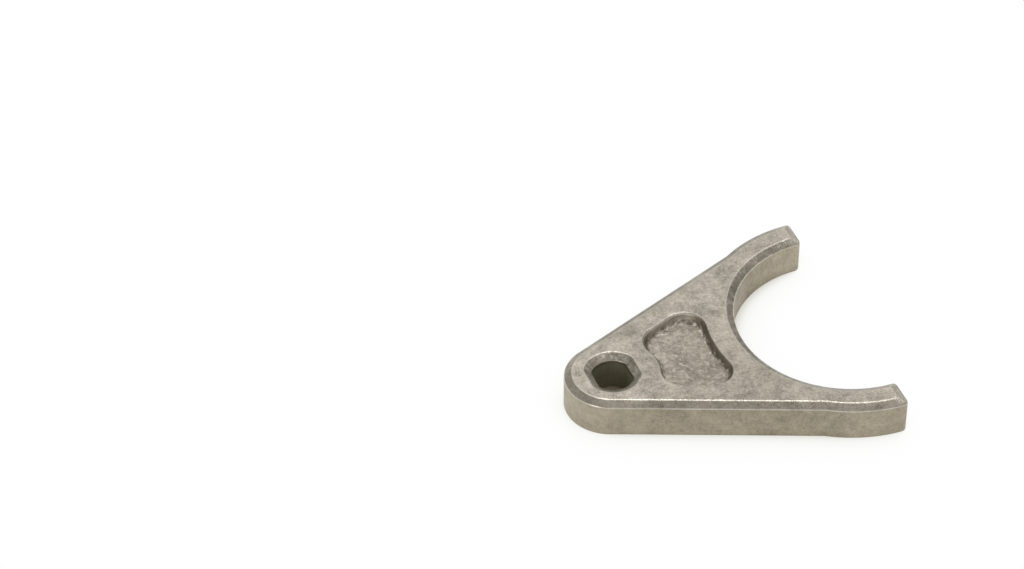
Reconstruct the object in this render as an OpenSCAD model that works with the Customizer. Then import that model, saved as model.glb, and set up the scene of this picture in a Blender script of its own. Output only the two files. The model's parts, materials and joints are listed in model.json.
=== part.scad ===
// Transmission shift fork, one pressed and sintered steel piece.
// It lies flat on z = 0. The round hole's axis is the origin and the jaw opens towards +X.
// A sloped edge runs round the top face, the jaw and the hole. The underside is plain.

/* [Plate] */
// Thickness of the fork
thickness = 3.85; // [2.5:0.05:8]
// Width of the sloped edge, seen from above
slope_w = 0.72; // [0.3:0.01:0.9]
// Height of the sloped edge
slope_h = 0.45; // [0.2:0.01:1]

/* [Hole] */
// Nominal diameter that the hole is made for
hole_size = 3.97; // [3:0.01:6]
// Clearance added to the hole on each side
hole_gap = 0.02; // [0:0.01:0.1]
// Depth of each of the hole's two flats
hole_flat = 0.27; // [0.1:0.01:0.5]
// Width of the hole's sloped edge, seen from above
hole_slope_w = 0.78; // [0.3:0.01:0.9]

/* [Boss] */
// Wall between the hole and the rounded end's edge
boss_wall = 2.4; // [2:0.05:5]
// Distance from the hole's axis back to the centre of the rounded end
boss_back = 0.23; // [0:0.01:0.5]

/* [Jaw] */
// Distance from the hole's axis to the jaw's centre
reach = 24; // [22:0.1:40]
// Radius of the jaw
jaw_r = 10.6; // [8:0.1:12]

/* [Tines] */
// Width of a tine, from the jaw to its outer edge
tine_w = 3.1; // [2.2:0.05:5]
// How far the tine ends run past the jaw's centre
tine_past = 0.35; // [0:0.05:4]
// Radius of the upright corners of a tine end
tine_corner_r = 0.6; // [0.1:0.05:1]
// How far a tine stands proud of the straight flank behind it
tine_shoulder = 0.2; // [0.05:0.05:0.6]

/* [Pocket] */
// Depth of the pocket in the top face
pocket_depth = 0.8; // [0.3:0.05:1.5]
// How far the pocket's wall leans in, from its rim to its floor
pocket_lean = 0.35; // [0:0.05:0.6]
// Rim left between the pocket and a flank
pocket_to_flank = 2.75; // [2:0.05:3.5]
// Rim left between the pocket and the jaw
pocket_to_jaw = 2.9; // [2:0.05:4]
// Rim left between the pocket and the hole
pocket_to_hole = 2.5; // [1.5:0.05:3.5]
// Radius of the pocket's corners
pocket_corner_r = 2.1; // [1:0.05:2.4]

/* [Hidden] */
$fn = 96;

// How far a form runs past the faces that trim it, or that it opens
past = 0.2;
// How far a round form stands past the form that it runs into
proud = 0.01;

hole_r = hole_size / 2 + hole_gap;
boss_r = hole_r + boss_wall;
tine_r = jaw_r + tine_w;
slope_foot = thickness - slope_h;
slope_past = past / slope_h;

// The flanks run along the boss and pass just inside the tines' outer edge
span = reach + boss_back;
flank_angle = asin((tine_r - tine_shoulder - boss_r) / span);
flank_length = span * cos(flank_angle);
flank_way = [cos(flank_angle), sin(flank_angle)];
flank_out = [-sin(flank_angle), cos(flank_angle)];

// The pocket's corners are centred on a line inside each flank, one by the hole and one by the jaw
pocket_floor = thickness - pocket_depth;
pocket_slant = pocket_lean / pocket_depth;
pocket_hole_r = hole_r + pocket_to_hole;
pocket_jaw_r = jaw_r + pocket_to_jaw;
pocket_line = [-boss_back, 0] + (boss_r - pocket_to_flank - pocket_corner_r) * flank_out;
hole_corner = on_pocket_line([0, 0], pocket_hole_r + pocket_corner_r, 1);
jaw_corner = on_pocket_line([reach, 0], pocket_jaw_r + pocket_corner_r, -1);
// How far inside a corner the pocket's side walls and middle end
pocket_tuck = sqrt(pocket_corner_r * proud / 2);

// Where the pocket's line meets a circle, on its far side (1) or its near side (-1) along the flank
function on_pocket_line(centre, r, side) =
    let (from = centre - pocket_line, way = from * flank_way)
    pocket_line + (way + side * sqrt(way * way - from * from + r * r)) * flank_way;

// Everything between two heights
module slab(low, high) {
    half = reach + 2 * tine_r;
    translate([-half, -half, low])
        cube([2 * half, 2 * half, high - low]);
}

// Section of the plate between a line inside it and an edge with its slope
module edge_section(inside, edge) {
    polygon([
        [inside, -past],
        [edge, -past],
        [edge, slope_foot],
        [edge - slope_w * (1 + slope_past), thickness + past],
        [inside, thickness + past],
    ]);
}

// Section of a cut between a line inside it and a wall, which opens out along its sloped edge
module cut_section(inside, wall, width) {
    polygon([
        [inside, -past],
        [wall, -past],
        [wall, slope_foot],
        [wall + width * (1 + slope_past), thickness + past],
        [inside, thickness + past],
    ]);
}

// Section of the pocket between a line inside it and its leaning wall. It runs past the floor and the
// top face by a distance that is its own for each of the pocket's forms, so that no two end level.
module pocket_section(inside, wall, over) {
    polygon([
        [inside, pocket_floor - over],
        [wall - pocket_lean - pocket_slant * over, pocket_floor - over],
        [wall + pocket_slant * over, thickness + over],
        [inside, thickness + over],
    ]);
}

// A section carried along a flank, upright and facing outwards
module along_flank(length) {
    rotate([0, 0, flank_angle])
        rotate([90, 0, 90])
            linear_extrude(length)
                children();
}

// One shape on each side of the fork's centre line
module both_sides() {
    children();
    mirror([0, 1, 0])
        children();
}

// The rounded end
module boss() {
    translate([-boss_back, 0, 0])
        rotate_extrude()
            edge_section(0, boss_r);
}

// The two straight flanks and the web between them
module flanks() {
    corner = flank_length * flank_way;
    translate([-boss_back, 0, 0]) {
        both_sides()
            along_flank(flank_length)
                edge_section(-boss_r / 2, boss_r - proud);
        translate([0, 0, -past])
            linear_extrude(thickness + 2 * past)
                polygon([[0, 0], [corner.x, -corner.y], corner]);
    }
}

// The disc that the two tines are left from
module tine_disc() {
    translate([reach, 0, 0])
        rotate_extrude()
            edge_section(0, tine_r);
}

// The plate, before anything is cut out of it
module plate() {
    intersection() {
        union() {
            boss();
            flanks();
            tine_disc();
        }
        slab(0, thickness);
    }
}

// The round jaw
module jaw_cut() {
    translate([reach, 0, 0])
        rotate_extrude()
            cut_section(0, jaw_r, slope_w);
}

// Everything beyond the tine ends, with their sloped edge
module end_cut() {
    half = tine_r + past;
    translate([reach, half, 0])
        rotate([90, 0, 0])
            linear_extrude(2 * half)
                mirror([1, 0])
                    cut_section(-half, -tine_past, slope_w);
}

// What a tine's upright corner loses to its radius. The corner's arc meets the tine's end and a circle
// of radius r about the jaw's centre, from inside that circle (side = -1) or from outside it (side = 1).
module corner_cut(r, side) {
    arc_x = tine_past - tine_corner_r;
    arc_d = r + side * tine_corner_r;
    arc_y = sqrt(arc_d * arc_d - arc_x * arc_x);
    beyond = r - side * past;
    end_y = sqrt(r * r - tine_past * tine_past) - side * past;
    translate([reach, 0, -past])
        difference() {
            linear_extrude(thickness + 2 * past)
                polygon([
                    [arc_x, arc_y],
                    [tine_past + past, arc_y],
                    [tine_past + past, end_y],
                    [arc_x * beyond / arc_d, arc_y * beyond / arc_d],
                ]);
            translate([arc_x, arc_y, -past])
                cylinder(r = tine_corner_r + proud, h = thickness + 4 * past);
        }
}

// Everything inside one of the hole's two flats, which faces +X before its turn
module hole_side(turn) {
    half = boss_r + reach;
    rotate([0, 0, turn])
        translate([0, half, 0])
            rotate([90, 0, 0])
                linear_extrude(2 * half)
                    cut_section(-half, hole_r - hole_flat, hole_slope_w);
}

// The hole: round, with a flat on the side of the jaw and one opposite
module hole_cut() {
    intersection() {
        rotate_extrude()
            cut_section(0, hole_r, hole_slope_w);
        hole_side(0);
        hole_side(180);
    }
}

// A round that bulges into the pocket, about an upright axis
module pocket_round(r) {
    rotate_extrude()
        polygon([
            [0, pocket_floor - past],
            [r + pocket_lean + pocket_slant * past, pocket_floor - past],
            [r - pocket_slant * past, thickness + past],
            [0, thickness + past],
        ]);
}

// One side wall of the pocket, along a flank
module pocket_side() {
    run = norm(jaw_corner - hole_corner) - 2 * pocket_tuck;
    translate(hole_corner + pocket_tuck * flank_way)
        along_flank(run)
            pocket_section(-pocket_corner_r / 2, pocket_corner_r - proud, past * 0.7);
}

// The middle of the pocket, out to its corners
module pocket_middle() {
    hole_y = hole_corner.y - pocket_tuck;
    jaw_y = jaw_corner.y - pocket_tuck;
    translate([0, 0, pocket_floor - past])
        linear_extrude(pocket_depth + 2 * past)
            polygon([
                [0, 0],
                [hole_corner.x, -hole_y],
                [jaw_corner.x, -jaw_y],
                [reach, 0],
                [jaw_corner.x, jaw_y],
                [hole_corner.x, hole_y],
            ]);
}

// One round corner of the pocket
module pocket_corner(centre) {
    translate(centre)
        rotate_extrude()
            pocket_section(0, pocket_corner_r, past * 0.5);
}

// The shallow pocket in the top face. Its rim follows the flanks, the jaw and the hole, and its wall
// leans in, so its floor is smaller than its rim.
module pocket_cut() {
    difference() {
        intersection() {
            union() {
                pocket_middle();
                both_sides()
                    pocket_side();
                both_sides()
                    pocket_corner(hole_corner);
                both_sides()
                    pocket_corner(jaw_corner);
            }
            slab(pocket_floor, thickness + past * 0.3);
        }
        pocket_round(pocket_hole_r + proud);
        translate([reach, 0, 0])
            pocket_round(pocket_jaw_r + proud);
    }
}

// The whole fork
module shift_fork() {
    color([0.68, 0.65, 0.6])
        difference() {
            plate();
            jaw_cut();
            end_cut();
            both_sides() {
                corner_cut(tine_r, -1);
                corner_cut(jaw_r, 1);
            }
            hole_cut();
            pocket_cut();
        }
}

shift_fork();
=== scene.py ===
"""Transmission shift fork: a flat, sintered steel fork on a white studio floor."""

import json
import logging
import math
from collections.abc import Callable
from dataclasses import dataclass, field
from enum import Enum

import bmesh
import bpy
from mathutils import Matrix, Vector
from mathutils.kdtree import KDTree

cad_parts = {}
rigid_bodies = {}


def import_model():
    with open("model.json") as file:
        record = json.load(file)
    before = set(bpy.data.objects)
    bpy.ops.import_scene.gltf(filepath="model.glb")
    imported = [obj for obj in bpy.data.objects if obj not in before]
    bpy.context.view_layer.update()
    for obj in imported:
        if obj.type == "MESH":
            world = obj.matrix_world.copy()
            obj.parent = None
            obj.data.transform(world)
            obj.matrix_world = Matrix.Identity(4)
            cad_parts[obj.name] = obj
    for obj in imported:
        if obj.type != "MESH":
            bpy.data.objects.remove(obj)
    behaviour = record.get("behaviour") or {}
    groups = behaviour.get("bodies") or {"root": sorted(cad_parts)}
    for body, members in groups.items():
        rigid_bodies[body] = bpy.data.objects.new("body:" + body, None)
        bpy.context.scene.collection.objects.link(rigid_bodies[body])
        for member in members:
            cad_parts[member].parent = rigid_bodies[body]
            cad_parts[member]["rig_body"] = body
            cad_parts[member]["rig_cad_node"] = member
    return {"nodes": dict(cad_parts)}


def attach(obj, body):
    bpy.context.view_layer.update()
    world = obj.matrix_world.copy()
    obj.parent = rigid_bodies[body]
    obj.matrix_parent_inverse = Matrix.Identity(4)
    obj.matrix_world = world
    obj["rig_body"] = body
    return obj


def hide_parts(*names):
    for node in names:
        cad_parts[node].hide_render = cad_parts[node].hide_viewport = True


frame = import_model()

log = logging.getLogger("shift_fork")

MM = 0.001
# The middle of a value that runs from 0 to 1
MIDDLE = 0.5

Colour = tuple[float, float, float]
Span = tuple[float, float]
Tree = bpy.types.NodeTree
Socket = bpy.types.NodeSocket


class Area(Enum):
    """Areas of the fork that wear, colour or take a painted highlight in their own way, by the name of
    their mesh attribute.
    """

    EDGE = "worn_edge"
    POCKET = "pocket"
    PALER = "burnished"
    CRUMB = "crumbly"
    HOLE = "hole"


class Face(Enum):
    """Kinds of face while the fork is shaped, by the number of their material slot."""

    PLAIN = 0
    ROUNDED = 1


class Side(Enum):
    """Sides on which a softbox stands, as azimuths in degrees."""

    BACK = 160.0
    FRONT_RIGHT = 40.0
    FRONT_LEFT = -57.0
    RIGHT = 117.0


def direction(azimuth: float, elevation: float) -> Vector:
    """Give the way to a place in the studio, by degrees round from the front (-Y) and above the floor."""
    a, e = math.radians(azimuth), math.radians(elevation)
    return Vector((math.sin(a) * math.cos(e), -math.cos(a) * math.cos(e), math.sin(e)))


def share_of(value: float, start: float, end: float) -> float:
    """Tell how far a value has come on its way from start to end, from 0 to 1."""
    return min(1.0, max(0.0, (value - start) / (end - start)))


def fade(distance: float, reach: float) -> float:
    """Give a share that falls from 1 at no distance to 0 at a reach."""
    return max(0.0, 1.0 - distance / reach)


def link(tree: Tree, source: Socket, target: Socket) -> None:
    """Join two sockets."""
    tree.links.new(source, target)


def new_node(tree: Tree, kind: str, **settings: object) -> bpy.types.Node:
    """Add a node.

    Args:
        tree: The tree that gets the node.
        kind: Blender's name of the node's type.
        settings: Properties of the node, by name.

    Returns:
        The node.
    """
    node = tree.nodes.new(kind)
    for name, value in settings.items():
        setattr(node, name, value)
    return node


def math_node(tree: Tree, operation: str, *values: Socket | float) -> Socket:
    """Add a Math node.

    Args:
        tree: The tree that gets the node.
        operation: What the node works out.
        values: Its inputs, each a socket or a number.

    Returns:
        The node's output.
    """
    node = new_node(tree, "ShaderNodeMath", operation=operation)
    for socket, value in zip(node.inputs, values):
        if isinstance(value, Socket):
            link(tree, value, socket)
        else:
            socket.default_value = value
    return node.outputs[0]


def mix_colour(
    tree: Tree, factor: Socket, first: Socket | Colour, second: Socket | Colour, blend: str = "MIX"
) -> Socket:
    """Add a colour Mix node.

    Args:
        tree: The tree that gets the node.
        factor: How much of the second colour shows.
        first: The colour at factor 0.
        second: The colour that is mixed in.
        blend: How the two are mixed.

    Returns:
        The mixed colour.
    """
    node = new_node(tree, "ShaderNodeMix", data_type="RGBA", blend_type=blend)
    for name, value in (("Factor_Float", factor), ("A_Color", first), ("B_Color", second)):
        socket = next(s for s in node.inputs if s.identifier == name)
        if isinstance(value, Socket):
            link(tree, value, socket)
        else:
            socket.default_value = (*value, 1.0)
    return next(s for s in node.outputs if s.identifier == "Result_Color")


def map_range(tree: Tree, value: Socket, low: float, high: float, to_low: float, to_high: float) -> Socket:
    """Add a Map Range node that clamps.

    Args:
        tree: The tree that gets the node.
        value: What is mapped.
        low: The value that becomes to_low.
        high: The value that becomes to_high.
        to_low: The result at low.
        to_high: The result at high.

    Returns:
        The mapped value.
    """
    node = new_node(tree, "ShaderNodeMapRange", clamp=True)
    link(tree, value, node.inputs["Value"])
    for name, number in (("From Min", low), ("From Max", high), ("To Min", to_low), ("To Max", to_high)):
        node.inputs[name].default_value = number
    return node.outputs["Result"]


@dataclass(frozen=True)
class GrainLayer:
    """One layer of the powder's grain: a noise whose values from low to high are spread from 0 to 1."""

    name: str
    size_mm: float
    detail: float
    low: float
    high: float
    roughness: float = 0.6

    def build(self, tree: Tree, place: Socket) -> Socket:
        """Add the layer's nodes.

        Args:
            tree: The tree that gets the nodes.
            place: Where on the piece the noise is read, in metres.

        Returns:
            The layer's value.
        """
        noise = new_node(tree, "ShaderNodeTexNoise")
        noise.inputs["Scale"].default_value = 1.0 / (self.size_mm * MM)
        noise.inputs["Detail"].default_value = self.detail
        noise.inputs["Roughness"].default_value = self.roughness
        link(tree, place, noise.inputs["Vector"])
        return map_range(tree, noise.outputs["Fac"], self.low, self.high, 0.0, 1.0)


@dataclass(frozen=True)
class PowderGrain:
    """The grain of pressed powder, as a node group."""

    name: str = "powder_grain"
    layers: tuple[GrainLayer, ...] = (
        GrainLayer("Tone", size_mm=2.6, detail=5.0, low=0.28, high=0.72, roughness=0.95),
        GrainLayer("Cloud", size_mm=9.0, detail=1.0, low=0.3, high=0.7),
        GrainLayer("Grain", size_mm=0.22, detail=2.0, low=0.3, high=0.7),
        GrainLayer("Crumbs", size_mm=0.42, detail=2.0, low=0.3, high=0.7),
        GrainLayer("Patch", size_mm=1.3, detail=2.0, low=0.35, high=0.65),
    )
    pore_field: GrainLayer = GrainLayer("Pores", size_mm=0.8, detail=1.0, low=0.45, high=0.6)
    pore_gap_mm: float = 0.28
    pore_rim: Span = (0.1, 0.35)

    def build(self) -> Tree:
        """Build the group.

        Returns:
            A group that takes a place and puts out each layer and the pores, from 0 to 1.
        """
        tree = bpy.data.node_groups.new(self.name, "ShaderNodeTree")
        tree.interface.new_socket("Vector", in_out="INPUT", socket_type="NodeSocketVector")
        for layer in (*self.layers, self.pore_field):
            tree.interface.new_socket(layer.name, in_out="OUTPUT", socket_type="NodeSocketFloat")
        place = new_node(tree, "NodeGroupInput").outputs["Vector"]
        out = new_node(tree, "NodeGroupOutput")
        for layer in self.layers:
            link(tree, layer.build(tree, place), out.inputs[layer.name])
        link(tree, self._pores(tree, place), out.inputs[self.pore_field.name])
        return tree

    def _pores(self, tree: Tree, place: Socket) -> Socket:
        """Scatter pores over parts of the surface.

        Args:
            tree: The group's tree.
            place: Where on the piece they are read, in metres.

        Returns:
            A share from 0 on the sound surface to 1 in a pore.
        """
        specks = new_node(tree, "ShaderNodeTexVoronoi")
        specks.inputs["Scale"].default_value = 1.0 / (self.pore_gap_mm * MM)
        link(tree, place, specks.inputs["Vector"])
        near = map_range(tree, specks.outputs["Distance"], *self.pore_rim, 1.0, 0.0)
        return math_node(tree, "MULTIPLY", near, self.pore_field.build(tree, place))


@dataclass(frozen=True)
class SinteredFinish:
    """Bare sintered steel: grey with a warm cast, finely grained, with edges polished by tumbling and
    lightened as a painted highlight.
    """

    name: str = "sintered_steel"
    grain: PowderGrain = PowderGrain()

    # The steel: its darkest and lightest grains, and how strongly clouds and pores show
    dark: Colour = (0.185, 0.168, 0.139)
    light: Colour = (0.645, 0.594, 0.505)
    cloud: Colour = (0.80, 0.79, 0.77)
    cloud_share: float = 0.8
    pore_share: float = 0.45

    # Upright sides: their tint, which is painted shade that makes them darker and warmer than level faces;
    # how much calmer their grain is; and the slope at which they begin
    side_shade_tint: Colour = (0.92, 0.885, 0.80)
    side_calm: float = 0.3
    side_normal: float = 0.2

    # Painted light on the two ends: on level faces, and more on upright sides
    end_painted_light: float = 0.1
    end_side_painted_light: float = 0.14
    middle_mm: float = 10.0
    end_span_mm: Span = (6.0, 14.0)

    # Worn edges, lightened as a painted highlight: their colour, and the share of it that every patch keeps
    edge: Colour = (0.58, 0.545, 0.475)
    edge_least: float = 0.6

    # Dirt and crumbs, with pale flakes that are partly painted glints: how much of each shows, and at which
    # values of the crumbs
    stain: Colour = (0.12, 0.095, 0.062)
    stain_least: float = 0.75
    stain_crumbs: Span = (0.2, 0.9)
    gap_share: float = 0.85
    gap_crumbs: Span = (0.15, 0.48)
    flake_and_glint: Colour = (0.80, 0.76, 0.66)
    flake_and_glint_share: float = 0.95
    flake_and_glint_crumbs: Span = (0.64, 0.84)
    soot: Colour = (0.42, 0.41, 0.31)

    # The surface: its gloss, the height of its grain, and how polish flattens that
    metallic: float = 1.0
    roughness: float = 0.44
    roughness_swing: float = 0.08
    edge_roughness: float = 0.27
    hole_roughness: float = 0.7
    grain_mm: float = 0.011
    crumb_lift: float = 4.0
    full_polish: float = 0.7
    polished_relief: float = 0.06

    def build(self) -> bpy.types.Material:
        """Make the material.

        Returns:
            A material that reads Object coordinates and the fork's area attributes.
        """
        material = bpy.data.materials.new(self.name)
        material.use_nodes = True
        tree = material.node_tree
        shader = tree.nodes["Principled BSDF"]
        shader.inputs["Metallic"].default_value = self.metallic
        place = new_node(tree, "ShaderNodeTexCoord").outputs["Object"]
        grain = new_node(tree, "ShaderNodeGroup", node_tree=self.grain.build())
        link(tree, place, grain.inputs["Vector"])
        areas = {area: self._area(tree, area) for area in Area}
        worn = self._wear_and_highlight(tree, grain, areas, self._bare_steel(tree, grain))
        link(tree, self._soil(tree, grain, areas, worn), shader.inputs["Base Color"])
        link(tree, self._roughness(tree, grain, areas), shader.inputs["Roughness"])
        link(tree, self._relief(tree, grain, areas), shader.inputs["Normal"])
        return material

    def _area(self, tree: Tree, area: Area) -> Socket:
        """Read one of the fork's area attributes."""
        return new_node(tree, "ShaderNodeAttribute", attribute_name=area.value).outputs["Fac"]

    def _bare_steel(self, tree: Tree, grain: bpy.types.Node) -> Socket:
        """Mix the colour of the bare steel, with painted shade on its upright sides and painted light at
        its ends.

        Args:
            tree: The material's tree.
            grain: The grain group.

        Returns:
            The colour before wear, the painted edge highlight and dirt.
        """
        upright = self._upright(tree)
        calm = math_node(tree, "MULTIPLY_ADD", upright, -self.side_calm, 1.0)
        swing = math_node(tree, "SUBTRACT", grain.outputs["Tone"], MIDDLE)
        tone = math_node(tree, "ADD", math_node(tree, "MULTIPLY", swing, calm), MIDDLE)
        steel = mix_colour(tree, tone, self.dark, self.light)
        clouds = math_node(tree, "MULTIPLY", grain.outputs["Cloud"], self.cloud_share)
        steel = mix_colour(tree, clouds, steel, self.cloud, "MULTIPLY")
        # Painted light: the fork's two ends are mixed toward the palest steel, more on upright sides
        painted_light_strength = math_node(tree, "MULTIPLY_ADD", upright, self.end_side_painted_light, self.end_painted_light)
        painted_light_at_ends = math_node(tree, "MULTIPLY", self._ends(tree), painted_light_strength)
        steel = mix_colour(tree, painted_light_at_ends, steel, self.light)
        pores = math_node(tree, "MULTIPLY", grain.outputs["Pores"], self.pore_share)
        pitted = mix_colour(tree, pores, steel, self.stain)
        # Painted shade: upright faces are tinted darker and warmer than level ones
        return mix_colour(tree, upright, pitted, self.side_shade_tint, "MULTIPLY")

    def _wear_and_highlight(self, tree: Tree, grain: bpy.types.Node, areas: dict[Area, Socket], steel: Socket) -> Socket:
        """Polish the edges, lightening them as a painted highlight, and make the pale areas paler.

        Args:
            tree: The material's tree.
            grain: The grain group.
            areas: The area attributes.
            steel: The bare steel's colour.

        Returns:
            The worn colour, with the painted edge highlight.
        """
        broken = map_range(tree, grain.outputs["Patch"], 0.0, 1.0, self.edge_least, 1.0)
        # Painted highlight: the rounded edges are mixed toward a pale steel, on top of their real polish
        highlit = mix_colour(tree, math_node(tree, "MULTIPLY", areas[Area.EDGE], broken), steel, self.edge)
        return mix_colour(tree, areas[Area.PALER], highlit, self.light)

    def _soil(self, tree: Tree, grain: bpy.types.Node, areas: dict[Area, Socket], worn: Socket) -> Socket:
        """Add the pocket's dirt and crumbs, with pale flakes that are partly painted glints, and the soot
        in the hole.

        Args:
            tree: The material's tree.
            grain: The grain group.
            areas: The area attributes.
            worn: The worn steel's colour, with its painted edge highlight.

        Returns:
            The base colour.
        """
        crumbs = grain.outputs["Crumbs"]
        layers = (
            (Area.POCKET, map_range(tree, crumbs, *self.stain_crumbs, 1.0, self.stain_least), self.stain),
            (Area.CRUMB, map_range(tree, crumbs, *self.gap_crumbs, self.gap_share, 0.0), self.stain),
            # Pale flakes along the pocket's foot, partly painted glints
            (Area.CRUMB, map_range(tree, crumbs, *self.flake_and_glint_crumbs, 0.0, self.flake_and_glint_share), self.flake_and_glint),
        )
        colour = worn
        for area, mask, dirt in layers:
            colour = mix_colour(tree, math_node(tree, "MULTIPLY", areas[area], mask), colour, dirt)
        return mix_colour(tree, areas[Area.HOLE], colour, self.soot)

    def _upright(self, tree: Tree) -> Socket:
        """Tell how upright a face stands, from 0 on a level face to 1 on a side.

        Args:
            tree: The material's tree.

        Returns:
            The share by which the face stands upright.
        """
        axes = new_node(tree, "ShaderNodeSeparateXYZ")
        link(tree, new_node(tree, "ShaderNodeTexCoord").outputs["Normal"], axes.inputs["Vector"])
        level = math_node(tree, "ABSOLUTE", axes.outputs["Z"])
        return map_range(tree, level, self.side_normal, 1.0, 1.0, 0.0)

    def _ends(self, tree: Tree) -> Socket:
        """Tell how near a place is to the fork's two ends.

        Args:
            tree: The material's tree.

        Returns:
            A share from 0 in the middle of the fork to 1 at its ends.
        """
        axes = new_node(tree, "ShaderNodeSeparateXYZ")
        link(tree, new_node(tree, "ShaderNodeTexCoord").outputs["Object"], axes.inputs["Vector"])
        along = math_node(tree, "SUBTRACT", axes.outputs["X"], self.middle_mm * MM)
        near, far = self.end_span_mm
        return map_range(tree, math_node(tree, "ABSOLUTE", along), near * MM, far * MM, 0.0, 1.0)

    def _roughness(self, tree: Tree, grain: bpy.types.Node, areas: dict[Area, Socket]) -> Socket:
        """Work out how rough the steel is.

        Args:
            tree: The material's tree.
            grain: The grain group.
            areas: The area attributes.

        Returns:
            The roughness.
        """
        most, least = self.roughness + self.roughness_swing, self.roughness - self.roughness_swing
        base = map_range(tree, grain.outputs["Grain"], 0.0, 1.0, most, least)
        drop = math_node(tree, "MULTIPLY", areas[Area.EDGE], self.edge_roughness - self.roughness)
        rise = math_node(tree, "MULTIPLY", areas[Area.HOLE], self.hole_roughness - self.roughness)
        return math_node(tree, "ADD", base, math_node(tree, "ADD", drop, rise))

    def _relief(self, tree: Tree, grain: bpy.types.Node, areas: dict[Area, Socket]) -> Socket:
        """Raise the grain, most where the pocket is crumbly and least on worn edges.

        Args:
            tree: The material's tree.
            grain: The grain group.
            areas: The area attributes.

        Returns:
            The bumped normal.
        """
        tone = math_node(tree, "SUBTRACT", grain.outputs["Tone"], 1.0)
        lumps = math_node(tree, "ADD", tone, grain.outputs["Grain"])
        height = math_node(tree, "SUBTRACT", lumps, grain.outputs["Pores"])
        crumbs = math_node(tree, "SUBTRACT", grain.outputs["Crumbs"], MIDDLE)
        crumbs = math_node(tree, "MULTIPLY", crumbs, self.crumb_lift)
        height = math_node(tree, "MULTIPLY_ADD", areas[Area.CRUMB], crumbs, height)
        worn = map_range(tree, areas[Area.EDGE], 0.0, self.full_polish, 1.0, self.polished_relief)
        bump = new_node(tree, "ShaderNodeBump")
        bump.inputs["Strength"].default_value = 1.0
        bump.inputs["Distance"].default_value = self.grain_mm * MM
        link(tree, math_node(tree, "MULTIPLY", height, worn), bump.inputs["Height"])
        return bump.outputs["Normal"]


@dataclass(frozen=True)
class FloorFinish:
    """White paper floor that stays white to the camera and keeps a faint shadow. Its reach is in metres."""

    name: str = "white_paper"
    paper: Colour = (0.92, 0.92, 0.915)
    roughness: float = 0.9
    specular: float = 0.0
    near_share: float = 0.95
    open_from: float = 0.7
    reach: float = 0.006
    samples: int = 24
    # The paper's colour by how open it lies
    shade: tuple[tuple[float, Colour], ...] = (
        (0.18, (0.045, 0.034, 0.02)),
        (0.32, (0.22, 0.185, 0.13)),
        (0.46, (0.70, 0.69, 0.63)),
        (0.56, (0.93, 0.93, 0.90)),
        (0.68, (0.99, 0.99, 0.98)),
        (0.85, (1.0, 1.0, 1.0)),
    )

    def build(self) -> bpy.types.Material:
        """Make the material.

        Returns:
            A material that is plain white to camera, glossy and transmission rays, and part paper by
            the fork.
        """
        material = bpy.data.materials.new(self.name)
        material.use_nodes = True
        tree = material.node_tree
        shader = tree.nodes["Principled BSDF"]
        shader.inputs["Base Color"].default_value = (*self.paper, 1.0)
        shader.inputs["Roughness"].default_value = self.roughness
        shader.inputs["Specular IOR Level"].default_value = self.specular
        cover = new_node(tree, "ShaderNodeAmbientOcclusion", samples=self.samples)
        cover.inputs["Distance"].default_value = self.reach
        glow = new_node(tree, "ShaderNodeEmission")
        link(tree, self._contact_shade(tree, cover.outputs["AO"]), glow.inputs["Color"])
        share = map_range(tree, cover.outputs["AO"], self.open_from, 1.0, self.near_share, 1.0)
        rays = new_node(tree, "ShaderNodeLightPath")
        seen = math_node(tree, "MAXIMUM", rays.outputs["Is Camera Ray"], rays.outputs["Is Glossy Ray"])
        seen = math_node(tree, "MAXIMUM", seen, rays.outputs["Is Transmission Ray"])
        mix = new_node(tree, "ShaderNodeMixShader")
        link(tree, math_node(tree, "MULTIPLY", seen, share), mix.inputs["Fac"])
        link(tree, shader.outputs["BSDF"], mix.inputs[1])
        link(tree, glow.outputs["Emission"], mix.inputs[2])
        link(tree, mix.outputs["Shader"], tree.nodes["Material Output"].inputs["Surface"])
        return material

    def _contact_shade(self, tree: Tree, cover: Socket) -> Socket:
        """Shade the paper where the fork stands close to it.

        Args:
            tree: The material's tree.
            cover: How open the paper lies, from 0 where it is covered to 1.

        Returns:
            The paper's colour, white away from the fork and dark under its hole.
        """
        ramp = new_node(tree, "ShaderNodeValToRGB")
        stops = ramp.color_ramp.elements
        while len(stops) < len(self.shade):
            stops.new(MIDDLE)
        for stop, (at, colour) in zip(stops, self.shade):
            stop.position = at
            stop.color = (*colour, 1.0)
        link(tree, cover, ramp.inputs["Fac"])
        return ramp.outputs["Color"]


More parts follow.
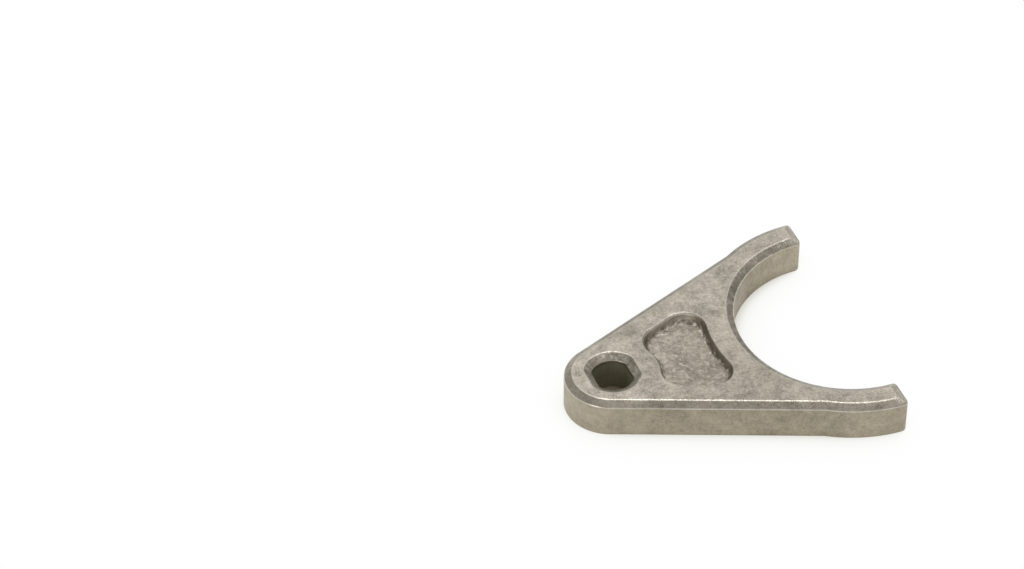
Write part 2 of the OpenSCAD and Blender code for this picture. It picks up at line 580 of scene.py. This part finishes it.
@dataclass
class ShiftFork:
    """The fork, shaped from its CAD node. Places and sizes are in millimetres, shares from 0 to 1."""

    node: str = "shift_fork"
    body: str = "root"
    slot: str = "sintered_steel"
    name: str = "fork_body"
    finish: SinteredFinish = field(default_factory=SinteredFinish)

    # Sizes of the CAD model
    thickness: float = 3.85
    slope_h: float = 0.45
    pocket_depth: float = 0.8
    flank_angle: float = 22.05
    jaw_centre: float = 24.0
    jaw_r: float = 10.6

    # Where its areas lie, seen from above
    pocket_reach: Span = (3.9, 12.4)
    pocket_half: float = 7.4
    pocket_from_middle: float = 2.5
    pocket_from_jaw: float = 12.9
    jaw_wall_from_jaw: Span = (14.1, 15.3)
    jaw_slope: float = 0.7
    hole_wall_from_hole: float = 5.3
    hole_corner: Span = (4.7, 2.9)
    hole_reach: float = 2.2
    hole_slope: float = 0.6
    hole_rim: float = 1.0
    end_from: float = 23.2

    # Heights that tell areas apart, from the top, the pocket's floor, the slope's foot or the bottom
    below_top: float = 0.05
    below_rim: float = 0.02
    below_floor: float = 0.1
    below_slope: float = 0.05
    above_end_foot: float = 0.1
    above_slope_foot: float = 0.15
    bottom_h: float = 1.0

    # Merging of the CAD model's triangles, with the angle in degrees
    merge_gap: float = 0.0005
    flat_angle: float = 0.3

    # Rounding of the edges, by their kind
    edge_angle: float = 20.0
    edge_steps: int = 4
    top_round: float = 0.12
    edge_round: float = 0.11
    end_round: float = 0.34
    end_stray: float = 0.01
    mitre_round: float = 0.045
    mitre_rise: Span = (0.06, 0.12)
    rim_round: Span = (0.08, 0.2)
    rim_blend: float = 2.0
    jaw_rim_round: float = 0.07
    foot_round: float = 0.19

    # The grid that the pocket is cut into, and the cuts round its wall and the hole's
    floor_grid: float = 0.13
    pocket_cuts: tuple[float, ...] = (0.42, 0.54)
    hole_cuts: tuple[float, ...] = (0.25, 0.6, 1.4)

    # The pocket's rough relief
    floor_relief: float = 0.06
    floor_lump: float = 0.3
    foot_relief: float = 0.19
    foot_lump: float = 0.36
    lump_layers: int = 2

    # Parts of the pocket's wall, as shares of its height
    floor_up: float = 0.06
    wall_middle: Span = (0.3, 0.7)
    rim_up: float = 0.7

    # Polish on the rounded edges, which also lightens them as a painted highlight
    hole_polish: float = 0.45
    top_polish: float = 0.7
    side_polish: float = 1.0
    bottom_polish: float = 0.3

    # Areas that are made paler, with the run past end_from over which a tine's end turns pale
    end_paler: float = 0.8
    end_paler_run: Span = (0.1, 0.25)
    hole_wall_paler: float = 0.8
    wall_paler: float = 0.4

    # Crumbs: how strong they are, and how far they reach over the floor and up the wall
    slope_crumbs: float = 0.3
    floor_crumbs: float = 0.2
    crumb_reach: float = 0.6
    crumb_up: float = 0.4

    # Dirt, with the height and half the width of each line of it along the pocket's wall
    slope_dirt: float = 0.03
    floor_dirt: float = 0.24
    jaw_wall_dirt: float = 0.28
    corner_dirt: float = 0.5
    corner_reach: float = 1.5
    rim_dirt: float = 0.4
    rim_dirt_line: Span = (0.66, 0.16)
    foot_dirt: float = 0.5
    foot_dirt_line: Span = (0.14, 0.14)

    # Soot in the hole, and the depths below its sloped edge between which it grows
    hole_soot: float = 0.9
    hole_soot_run: Span = (0.05, 0.55)

    # Weight of a face's size when its edges are shaded
    face_weight: int = 100

    @property
    def pocket_floor(self) -> float:
        """Give the height of the pocket's floor."""
        return self.thickness - self.pocket_depth

    @property
    def slope_foot(self) -> float:
        """Give the height at which the sloped edges begin."""
        return self.thickness - self.slope_h

    def build(self) -> bpy.types.Object:
        """Make the fork.

        Returns:
            The finished piece.
        """
        piece = self._copy_node()
        self._merge()
        self._round_edges(piece)
        self._divide()
        self._mark_areas(piece)
        self._roughen_pocket(piece)
        self._smooth(piece)
        self._dress(piece)
        return piece

    def _copy_node(self) -> bpy.types.Object:
        """Copy the CAD node and make the copy active.

        Returns:
            A free copy with a mesh of its own.
        """
        bpy.ops.object.select_all(action="DESELECT")
        node = frame["nodes"][self.node]
        node.select_set(True)
        bpy.context.view_layer.objects.active = node
        bpy.ops.object.duplicate()
        piece = bpy.context.active_object
        bpy.ops.object.parent_clear(type="CLEAR_KEEP_TRANSFORM")
        piece.name = piece.data.name = self.name
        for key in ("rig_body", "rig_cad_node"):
            del piece[key]
        return piece

    def _merge(self) -> None:
        """Merge the active copy's loose triangles into plain faces."""
        bpy.ops.mesh.customdata_custom_splitnormals_clear()
        bpy.ops.object.mode_set(mode="EDIT")
        bpy.ops.mesh.select_all(action="SELECT")
        bpy.ops.mesh.remove_doubles(threshold=self.merge_gap * MM)
        bpy.ops.mesh.dissolve_degenerate(threshold=self.merge_gap * MM)
        bpy.ops.mesh.dissolve_limited(angle_limit=math.radians(self.flat_angle))
        bpy.ops.object.mode_set(mode="OBJECT")

    def _round_edges(self, piece: bpy.types.Object) -> None:
        """Round the sharp edges, as tumbling leaves them.

        Args:
            piece: The fork.
        """
        widest = max(self.end_round, self.foot_round, *self.rim_round)
        mesh = bmesh.new()
        mesh.from_mesh(piece.data)
        weight = mesh.edges.layers.float.new("bevel_weight_edge")
        for edge in mesh.edges:
            if edge.calc_face_angle(0.0) > math.radians(self.edge_angle):
                edge[weight] = self._rounding(edge.verts[0].co / MM, edge.verts[1].co / MM) / widest
        mesh.to_mesh(piece.data)
        mesh.free()
        piece.data.materials.clear()
        for kind in Face:
            piece.data.materials.append(bpy.data.materials.new(kind.name.lower()))
        bpy.ops.object.modifier_add(type="BEVEL")
        bevel = piece.modifiers[-1]
        bevel.width = widest * MM
        bevel.segments = self.edge_steps
        bevel.limit_method = "WEIGHT"
        bevel.use_clamp_overlap = False
        bevel.material = Face.ROUNDED.value
        bpy.ops.object.modifier_apply(modifier=bevel.name)

    def _rounding(self, first: Vector, last: Vector) -> float:
        """Tell how wide an edge is rounded.

        Args:
            first: One end of the edge.
            last: Its other end.

        Returns:
            The width of the rounding.
        """
        place = (first + last) / 2
        top = place.z > self.thickness - self.below_top
        if self._over_pocket(place) and place.z > self.pocket_floor - self.below_floor:
            return self._rim_rounding(place) if top else self.foot_round
        at_end = place.x > self.end_from
        if top:
            return self.end_round if at_end and abs(first.x - last.x) < self.end_stray else self.top_round
        least, most = self.mitre_rise
        mitre = place.z > self.slope_foot and least < abs(first.z - last.z) < most
        return self.mitre_round if mitre and at_end else self.edge_round

    def _rim_rounding(self, place: Vector) -> float:
        """Tell how wide the pocket's rim is rounded: most on the side of +Y, and least by the jaw.

        Args:
            place: The place.

        Returns:
            The width of the rounding.
        """
        low, high = self.rim_round
        rim = low + (high - low) * share_of(place.y, -self.rim_blend, self.rim_blend)
        return rim + (self.jaw_rim_round - rim) * self._by_jaw(place)

    def _divide(self) -> None:
        """Cut the pocket into a grid fine enough for its rough relief, and the hole's wall into bands."""
        bpy.ops.object.mode_set(mode="EDIT")
        bpy.ops.mesh.select_mode(type="FACE")
        along, across, up = Vector((1, 0, 0)), Vector((0, 1, 0)), Vector((0, 0, 1))
        for x in self._steps(*self.pocket_reach):
            self._cut(self._in_pocket, along, x)
        for y in self._steps(-self.pocket_half, self.pocket_half):
            self._cut(self._in_pocket, across, y)
        for rise in self.pocket_cuts:
            self._cut(self._in_pocket, up, self.pocket_floor + rise)
        for drop in self.hole_cuts:
            self._cut(self._in_hole, up, self.slope_foot - drop)
        bpy.ops.object.mode_set(mode="OBJECT")

    def _steps(self, low: float, high: float) -> list[float]:
        """Give evenly spaced places from low to high, a grid step apart."""
        return [low + self.floor_grid * i for i in range(int((high - low) / self.floor_grid) + 1)]

    def _cut(self, test: Callable[[Vector], bool], way: Vector, at: float) -> None:
        """Cut some faces along a plane, in edit mode.

        Args:
            test: Tells whether a face whose middle is at a place is cut.
            way: The way that the plane faces.
            at: How far along that way the plane stands.
        """
        if self._select_faces(lambda face: test(face.calc_center_median() / MM)):
            bpy.ops.mesh.bisect(plane_co=way * at * MM, plane_no=way)

    def _select_faces(self, test: Callable[[bmesh.types.BMFace], bool]) -> int:
        """Select faces in edit mode by a test.

        Args:
            test: Tells whether a face is selected.

        Returns:
            How many faces were selected.
        """
        bpy.ops.mesh.select_all(action="DESELECT")
        mesh = bmesh.from_edit_mesh(bpy.context.edit_object.data)
        chosen = [face for face in mesh.faces if test(face)]
        for face in chosen:
            face.select_set(True)
        mesh.select_flush_mode()
        bmesh.update_edit_mesh(bpy.context.edit_object.data)
        return len(chosen)

    def _from_hole(self, place: Vector) -> float:
        """Give a place's distance from the hole's axis."""
        return math.hypot(place.x, place.y)

    def _from_jaw(self, place: Vector) -> float:
        """Give a place's distance from the jaw's axis."""
        return math.hypot(place.x - self.jaw_centre, place.y)

    def _by_jaw(self, place: Vector) -> float:
        """Tell how much a place belongs to the pocket's wall by the jaw, from 0 to 1, with soft ends.

        Args:
            place: The place.

        Returns:
            The share.
        """
        near, far = self.jaw_wall_from_jaw
        share = share_of(self._from_jaw(place), far, near)
        return share * share * (3.0 - 2.0 * share)

    def _over_pocket(self, place: Vector) -> bool:
        """Tell whether a place lies over the pocket, seen from above, or on its rim.

        Args:
            place: The place.

        Returns:
            Whether it does.
        """
        low, high = self.pocket_reach
        lean = math.radians(self.flank_angle)
        from_middle = abs(place.y) * math.cos(lean) - place.x * math.sin(lean)
        beside = from_middle < self.pocket_from_middle and self._from_jaw(place) > self.pocket_from_jaw
        return low < place.x < high and beside

    def _in_pocket(self, place: Vector) -> bool:
        """Tell whether a place is in the pocket, below its rim."""
        low, high = self.pocket_floor - self.below_floor, self.thickness - self.below_rim
        return self._over_pocket(place) and low < place.z < high

    def _in_hole(self, place: Vector) -> bool:
        """Tell whether a place is on the hole's wall, below its sloped edge."""
        return self._from_hole(place) < self.hole_reach and place.z < self.slope_foot

    def _at_end(self, place: Vector) -> bool:
        """Tell whether a place is on the sloped edge of a tine's end."""
        return place.x > self.end_from and place.z > self.slope_foot + self.above_end_foot

    def _on_inner_slope(self, place: Vector) -> bool:
        """Tell whether a place is on the sloped edge of the hole or of the jaw.

        Args:
            place: The place.

        Returns:
            Whether it is.
        """
        by_hole = self._from_hole(place) < self.hole_reach + self.hole_slope
        by_jaw = self._from_jaw(place) < self.jaw_r + self.jaw_slope
        low, high = self.slope_foot - self.below_slope, self.thickness - self.below_rim
        return (by_hole or by_jaw) and low < place.z < high

    def _up(self, place: Vector) -> float:
        """Tell how far up the pocket's wall a place is, from 0 at its floor to 1 at its rim."""
        return (place.z - self.pocket_floor) / (self.thickness - self.pocket_floor)

    def _mark_areas(self, piece: bpy.types.Object) -> None:
        """Write the area attributes that the finish reads.

        Args:
            piece: The fork.
        """
        mesh = piece.data
        touching: dict[int, list[bool]] = {v.index: [] for v in mesh.vertices}
        for polygon in mesh.polygons:
            for index in polygon.vertices:
                touching[index].append(polygon.material_index == Face.ROUNDED.value)
        wall = self._wall_tree(mesh)
        tests: dict[Area, Callable[[bpy.types.MeshVertex], float]] = {
            Area.EDGE: lambda v: self._polish_and_highlight(v.co / MM, all(touching[v.index])),
            Area.POCKET: lambda v: self._pocket_dirt(v.co / MM),
            Area.PALER: lambda v: self._paler_share(v.co / MM),
            Area.CRUMB: lambda v: self._crumbs(v.co / MM, wall),
            Area.HOLE: lambda v: self._soot(v.co / MM),
        }
        for area, test in tests.items():
            attribute = mesh.attributes.new(area.value, "FLOAT", "POINT")
            attribute.data.foreach_set("value", [test(v) for v in mesh.vertices])

    def _wall_tree(self, mesh: bpy.types.Mesh) -> KDTree:
        """Gather places on the pocket's wall, to measure distances from it.

        Args:
            mesh: The fork's mesh.

        Returns:
            A tree of the places, all at height 0.
        """
        low, high = self.wall_middle
        inside = [v.co / MM for v in mesh.vertices if self._in_pocket(v.co / MM)]
        wall = [place for place in inside if low < self._up(place) < high]
        tree = KDTree(len(wall))
        for index, place in enumerate(wall):
            tree.insert((place.x, place.y, 0.0), index)
        tree.balance()
        return tree

    def _polish_and_highlight(self, place: Vector, edge: bool) -> float:
        """Tell how far a place is polished, which also lightens its colour as a painted highlight.

        Args:
            place: The place.
            edge: Whether it lies on a rounded edge.

        Returns:
            A share, least along the bottom, and none on the tine ends and in the pocket.
        """
        if not edge or self._at_end(place) or (self._in_pocket(place) and self._up(place) < self.rim_up):
            return 0.0
        if place.z <= self.bottom_h:
            return self.bottom_polish
        if self._from_hole(place) < self.hole_reach + self.hole_rim:
            return self.hole_polish
        return self.top_polish if place.z > self.slope_foot + self.above_slope_foot else self.side_polish

    def _paler_share(self, place: Vector) -> float:
        """Tell how much paler a place is made.

        Args:
            place: The place.

        Returns:
            A share, most on the tine ends and on the pocket's wall by the hole.
        """
        if self._at_end(place):
            return self.end_paler * share_of(place.x - self.end_from, *self.end_paler_run)
        if not self._in_pocket(place) or self._up(place) < self.floor_up:
            return 0.0
        by_hole = self._from_hole(place) < self.hole_wall_from_hole
        made_paler = self.hole_wall_paler if by_hole else self.wall_paler
        return made_paler * (1.0 - self._by_jaw(place))

    def _crumbs(self, place: Vector, wall: KDTree) -> float:
        """Tell how crumbly a place is.

        Args:
            place: The place.
            wall: Places on the pocket's wall.

        Returns:
            A share, most along the foot of the pocket's wall.
        """
        if not self._in_pocket(place):
            return self.slope_crumbs if self._on_inner_slope(place) else 0.0
        if self._up(place) > self.floor_up:
            return fade(self._up(place), self.crumb_up)
        away = wall.find((place.x, place.y, 0.0))[2]
        return max(self.floor_crumbs, fade(away, self.crumb_reach))

    def _pocket_dirt(self, place: Vector) -> float:
        """Tell how soiled a place is in the pocket or on a sloped edge.

        Args:
            place: The place.

        Returns:
            A share, most in the corners by the hole and along the foot of the pocket's wall.
        """
        if not self._in_pocket(place):
            return self.slope_dirt if self._on_inner_slope(place) else 0.0
        up = self._up(place)
        corner_x, corner_y = self.hole_corner
        away = math.hypot(place.x - corner_x, abs(place.y) - corner_y)
        corner = self.corner_dirt * fade(away, self.corner_reach)
        if up < self.floor_up:
            return max(self.floor_dirt, corner)
        middle, half = self.rim_dirt_line
        line = self.rim_dirt * fade(abs(up - middle), half)
        if self._from_hole(place) > self.hole_wall_from_hole:
            middle, half = self.foot_dirt_line
            line = max(line, self.foot_dirt * fade(abs(up - middle), half))
        by_jaw = self._by_jaw(place)
        return self.jaw_wall_dirt * by_jaw + max(corner, line) * (1.0 - by_jaw)

    def _soot(self, place: Vector) -> float:
        """Tell how dark a place is in the hole.

        Args:
            place: The place.

        Returns:
            A share, none at the hole's sloped edge and most lower down.
        """
        if self._from_hole(place) > self.hole_reach:
            return 0.0
        return min(self.hole_soot, share_of(self.slope_foot - place.z, *self.hole_soot_run))

    def _roughen_pocket(self, piece: bpy.types.Object) -> None:
        """Give the pocket the lumps that the punch left: low ones on its floor and ragged ones at its foot.

        Args:
            piece: The fork.
        """
        inside = [float(self._in_pocket(v.co / MM)) for v in piece.data.vertices]
        crumbs = [point.value for point in piece.data.attributes[Area.CRUMB.value].data]
        foot = [share * crumb for share, crumb in zip(inside, crumbs)]
        self._displace(piece, "pocket_floor", self.floor_lump, self.floor_relief, inside)
        self._displace(piece, "pocket_foot", self.foot_lump, self.foot_relief, foot)

    def _displace(
        self, piece: bpy.types.Object, name: str, lump: float, strength: float, weights: list[float]
    ) -> None:
        """Push the pocket's surface in and out by a cloudy pattern.

        Args:
            piece: The fork.
            name: The name of the vertex group and the pattern.
            lump: The size of the pattern's lumps.
            strength: How far apart the highest and lowest places can come.
            weights: The share of it at each of the mesh's points.
        """
        group = piece.vertex_groups.new(name=name)
        for index, weight in enumerate(weights):
            if weight > 0.0:
                group.add([index], weight, "REPLACE")
        clouds = bpy.data.textures.new(name, "CLOUDS")
        clouds.noise_scale = lump * MM
        clouds.noise_depth = self.lump_layers
        bpy.ops.object.modifier_add(type="DISPLACE")
        relief = piece.modifiers[-1]
        relief.texture = clouds
        relief.texture_coords = "LOCAL"
        relief.vertex_group = group.name
        relief.strength = strength * MM
        relief.mid_level = MIDDLE
        bpy.ops.object.modifier_apply(modifier=relief.name)
        piece.vertex_groups.clear()

    def _smooth(self, piece: bpy.types.Object) -> None:
        """Shade the fork smooth, with its large faces kept flat.

        Args:
            piece: The fork.
        """
        bpy.ops.object.shade_smooth()
        bpy.ops.object.modifier_add(type="WEIGHTED_NORMAL")
        weight = piece.modifiers[-1]
        weight.weight = self.face_weight
        bpy.ops.object.modifier_apply(modifier=weight.name)

    def _dress(self, piece: bpy.types.Object) -> None:
        """Give the fork its finish and its place in the frame.

        Args:
            piece: The fork.
        """
        piece.data.materials.clear()
        piece.data.materials.append(self.finish.build())
        slots = [Face.PLAIN.value] * len(piece.data.polygons)
        piece.data.polygons.foreach_set("material_index", slots)
        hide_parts(self.node)
        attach(piece, self.body)


@dataclass(frozen=True)
class Softbox:
    """A square studio lamp that faces the fork. Sizes are in metres and the elevation in degrees."""

    name: str
    side: Side
    elevation: float
    width: float
    brightness: float
    colour: Colour = (1.0, 1.0, 1.0)
    distance: float = 0.6

    def build(self, target: Vector) -> bpy.types.Object:
        """Make the lamp.

        Args:
            target: What it faces.

        Returns:
            The lamp's object.
        """
        way = direction(self.side.value, self.elevation)
        bpy.ops.object.light_add(type="AREA", location=target + way * self.distance)
        lamp = bpy.context.active_object
        lamp.name = self.name
        lamp.rotation_euler = way.to_track_quat("Z", "Y").to_euler()
        lamp.data.shape = "SQUARE"
        lamp.data.size = self.width
        lamp.data.energy = self.brightness * math.pi * self.width * self.width
        lamp.data.color = self.colour
        return lamp


@dataclass
class Studio:
    """The floor, the sky and the lamps. Sizes are in metres."""

    target: tuple[float, float, float] = (0.01, 0.0, 0.002)
    floor_size: float = 3.0
    floor: FloorFinish = field(default_factory=FloorFinish)

    # The sky, with the spans of its unit sphere over which it dims
    horizon: Colour = (1.0, 1.0, 1.0)
    zenith: Colour = (0.55, 0.55, 0.55)
    zenith_span: Span = (0.05, 0.6)
    back_share: float = 0.65
    back_span: Span = (-0.2, 0.7)
    right_share: float = 0.8
    right_span: Span = (0.0, 0.7)

    lamps: tuple[Softbox, ...] = (
        Softbox(
            "back_softbox", Side.BACK, elevation=42.0, width=0.5, brightness=0.81, colour=(0.98, 0.99, 1.0)
        ),
        Softbox("top_softbox", Side.BACK, elevation=70.0, width=0.16, brightness=5.0),
        Softbox("front_softbox", Side.FRONT_RIGHT, elevation=67.0, width=0.25, brightness=0.85),
        Softbox("left_softbox", Side.FRONT_LEFT, elevation=20.0, width=0.22, brightness=2.6),
        Softbox("right_softbox", Side.RIGHT, elevation=66.0, width=0.14, brightness=2.9),
    )

    def build(self) -> None:
        """Make the floor, the sky and the lamps."""
        bpy.ops.object.select_all(action="DESELECT")
        self._lay_floor()
        self._light_sky()
        for lamp in self.lamps:
            lamp.build(Vector(self.target))
            log.info("lamp %s", lamp.name)

    def _lay_floor(self) -> None:
        """Lay the floor that the fork lies on."""
        bpy.ops.mesh.primitive_plane_add(size=self.floor_size, location=(0, 0, 0))
        floor = bpy.context.active_object
        floor.name = "studio_floor"
        floor.data.materials.append(self.floor.build())
        log.info("stage %s", floor.name)

    def _light_sky(self) -> None:
        """Make a sky that is white at the horizon, and dimmer overhead, at the back and on the right."""
        world = bpy.data.worlds.new("studio_sky")
        bpy.context.scene.world = world
        world.use_nodes = True
        tree = world.node_tree
        place = new_node(tree, "ShaderNodeTexCoord").outputs["Generated"]
        axes = new_node(tree, "ShaderNodeSeparateXYZ")
        link(tree, place, axes.inputs["Vector"])
        height = map_range(tree, axes.outputs["Z"], *self.zenith_span, 0.0, 1.0)
        sky = tree.nodes["Background"]
        link(tree, mix_colour(tree, height, self.horizon, self.zenith), sky.inputs["Color"])
        back = map_range(tree, axes.outputs["Y"], *self.back_span, 1.0, self.back_share)
        right = map_range(tree, axes.outputs["X"], *self.right_span, 1.0, self.right_share)
        link(tree, math_node(tree, "MULTIPLY", back, right), sky.inputs["Strength"])


@dataclass
class PhotoCamera:
    """A camera where the photograph was taken from, with its place in metres and its angles in degrees."""

    place: tuple[float, float, float] = (-0.08912935, -0.21292771, 0.22261755)
    azimuth: float = -20.3848
    elevation: float = 41.9857
    roll: float = -0.6987
    lens: float = 118.696
    sensor: float = 36.0
    clip: Span = (0.01, 10.0)

    def build(self) -> bpy.types.Object:
        """Make the camera and give it to the scene.

        Returns:
            The camera.
        """
        bpy.ops.object.camera_add(location=self.place)
        camera = bpy.context.active_object
        camera.name = "photo_camera"
        turn = Matrix.Rotation(math.radians(self.azimuth), 4, "Z")
        tilt = Matrix.Rotation(math.radians(90.0 - self.elevation), 4, "X")
        roll = Matrix.Rotation(math.radians(self.roll), 4, "Z")
        camera.rotation_euler = (turn @ tilt @ roll).to_euler()
        camera.data.sensor_fit = "HORIZONTAL"
        camera.data.sensor_width = self.sensor
        camera.data.lens = self.lens
        camera.data.clip_start, camera.data.clip_end = self.clip
        bpy.context.scene.camera = camera
        return camera


def main() -> None:
    """Build the fork, the studio and the camera."""
    logging.basicConfig(level=logging.INFO, format="%(name)s: %(message)s")
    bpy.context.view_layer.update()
    bpy.context.scene.view_settings.view_transform = "Standard"
    piece = ShiftFork().build()
    log.info("piece %s: %d faces", piece.name, len(piece.data.polygons))
    Studio().build()
    camera = PhotoCamera().build()
    log.info("camera %s", camera.name)


if __name__ == "__main__":
    main()
